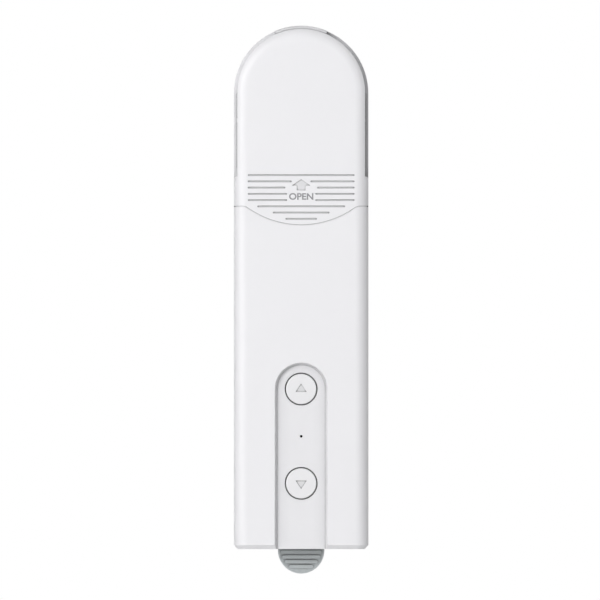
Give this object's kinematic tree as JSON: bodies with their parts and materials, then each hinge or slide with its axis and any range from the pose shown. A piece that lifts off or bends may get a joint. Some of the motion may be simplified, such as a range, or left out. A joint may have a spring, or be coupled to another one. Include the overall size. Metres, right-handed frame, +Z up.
{
  "type": "roller shade motor",
  "caption": "Wall-mounted bead-chain drive for a roller shade: arched case, sliding chain cover, bead wheel, up and down buttons, release latch.",
  "frame": {"origin": "on the wall plane, centre of the bracket's two wall-screw holes, level with mid height of the body", "axes": "+Z up, -Y out into the room, +X to the right seen from the room"},
  "size_m": [0.0454, 0.055, 0.186],
  "materials": {
    "case_plastic": "fine moulded satin white",
    "button_plastic": "satin white",
    "latch_plastic": "satin grey-green",
    "bracket_plastic": "matt pale grey",
    "frame_plastic": "matt dark grey",
    "wheel_plastic": "self-lubricating pale plastic",
    "gear_plastic": "natural acetal",
    "steel": "bright steel",
    "screw_steel": "zinc-plated steel",
    "brass": "turned brass",
    "can_steel": "plated steel",
    "magnet": "dark sintered metal",
    "cell_wrap": "shrink sleeve",
    "board": "solder mask",
    "chip": "moulded black",
    "plunger": "black",
    "lamp": "clear-fronted lamp",
    "smoked": "smoked clear plastic",
    "lead": "flexible insulation"
  },
  "bodies": {
    "housing": {"rear_shell": "case_plastic", "front_shell": "case_plastic", "wall_bracket": "bracket_plastic", "latch_pin": "steel", "latch_spring": "steel", "drive_frame": "frame_plastic", "gear_plate": "steel", "front_bush": "brass", "rear_bush": "brass", "gear_axles": "steel", "motor_can": "can_steel", "motor_end_cap": "frame_plastic", "motor_magnets": "magnet", "motor_plate": "steel", "motor_screws": "screw_steel", "left_cell": "cell_wrap", "right_cell": "cell_wrap", "battery_holder": "frame_plastic", "battery_strips": "steel", "circuit_board": "board", "board_components": "chip", "radio_module": "steel", "button_switches": "chip", "status_led": "lamp", "light_pipe": "smoked", "usb_socket": "steel", "motor_leads": "lead", "battery_leads": "lead", "case_screws": "screw_steel", "frame_screws": "screw_steel", "gearbox_screws": "screw_steel", "board_screws": "screw_steel"},
    "cover": {"chain_cover": "case_plastic"},
    "up_key": {"up_button": "button_plastic", "up_plunger": "plunger"},
    "down_key": {"down_button": "button_plastic", "down_plunger": "plunger"},
    "latch": {"release_latch": "latch_plastic"},
    "sprocket": {"output_shaft": "steel", "output_gear": "gear_plastic", "bead_wheel": "wheel_plastic", "wheel_screw": "screw_steel"},
    "second_wheel": {"second_gear": "gear_plastic"},
    "first_wheel": {"first_gear": "gear_plastic"},
    "rotor": {"motor_shaft": "steel", "motor_armature": "magnet", "motor_pinion": "brass"}
  },
  "joints": [
    {"name": "cover_slide", "type": "slide", "parent": "housing", "child": "cover", "axis": [0, 0, 1], "range_m": [0, 0.07]},
    {"name": "up_press", "type": "slide", "parent": "housing", "child": "up_key", "axis": [0, 1, 0], "range_m": [0, 0.0005], "stiffness_N_per_m": 1200, "springref_m": -0.0003},
    {"name": "down_press", "type": "slide", "parent": "housing", "child": "down_key", "axis": [0, 1, 0], "range_m": [0, 0.0005], "stiffness_N_per_m": 1200, "springref_m": -0.0003},
    {"name": "sprocket_spin", "type": "hinge", "parent": "housing", "child": "sprocket", "pos_m": [0, -0.04, 0.06575], "axis": [0, 1, 0], "continuous": true},
    {"name": "second_gear_spin", "type": "hinge", "parent": "housing", "child": "second_wheel", "pos_m": [0.005, -0.04, 0.04546], "axis": [0, 1, 0], "continuous": true},
    {"name": "first_gear_spin", "type": "hinge", "parent": "housing", "child": "first_wheel", "pos_m": [-0.0055, -0.04, 0.03183], "axis": [0, 1, 0], "continuous": true},
    {"name": "motor_spin", "type": "hinge", "parent": "housing", "child": "rotor", "pos_m": [0, -0.04, 0.01564], "axis": [0, 1, 0], "continuous": true},
    {"name": "latch_pivot", "type": "hinge", "parent": "housing", "child": "latch", "pos_m": [0, -0.0059, -0.0745], "axis": [1, 0, 0], "range_deg": [0, 9], "stiffness_Nm_per_rad": 0.05, "springref_deg": -11.46, "deforming": ["latch_spring"]}
  ],
  "couplings": [
    {"joint": "sprocket_spin", "follows": "motor_spin", "ratio": -0.017143},
    {"joint": "second_gear_spin", "follows": "motor_spin", "ratio": 0.057143},
    {"joint": "first_gear_spin", "follows": "motor_spin", "ratio": -0.21429}
  ]
}
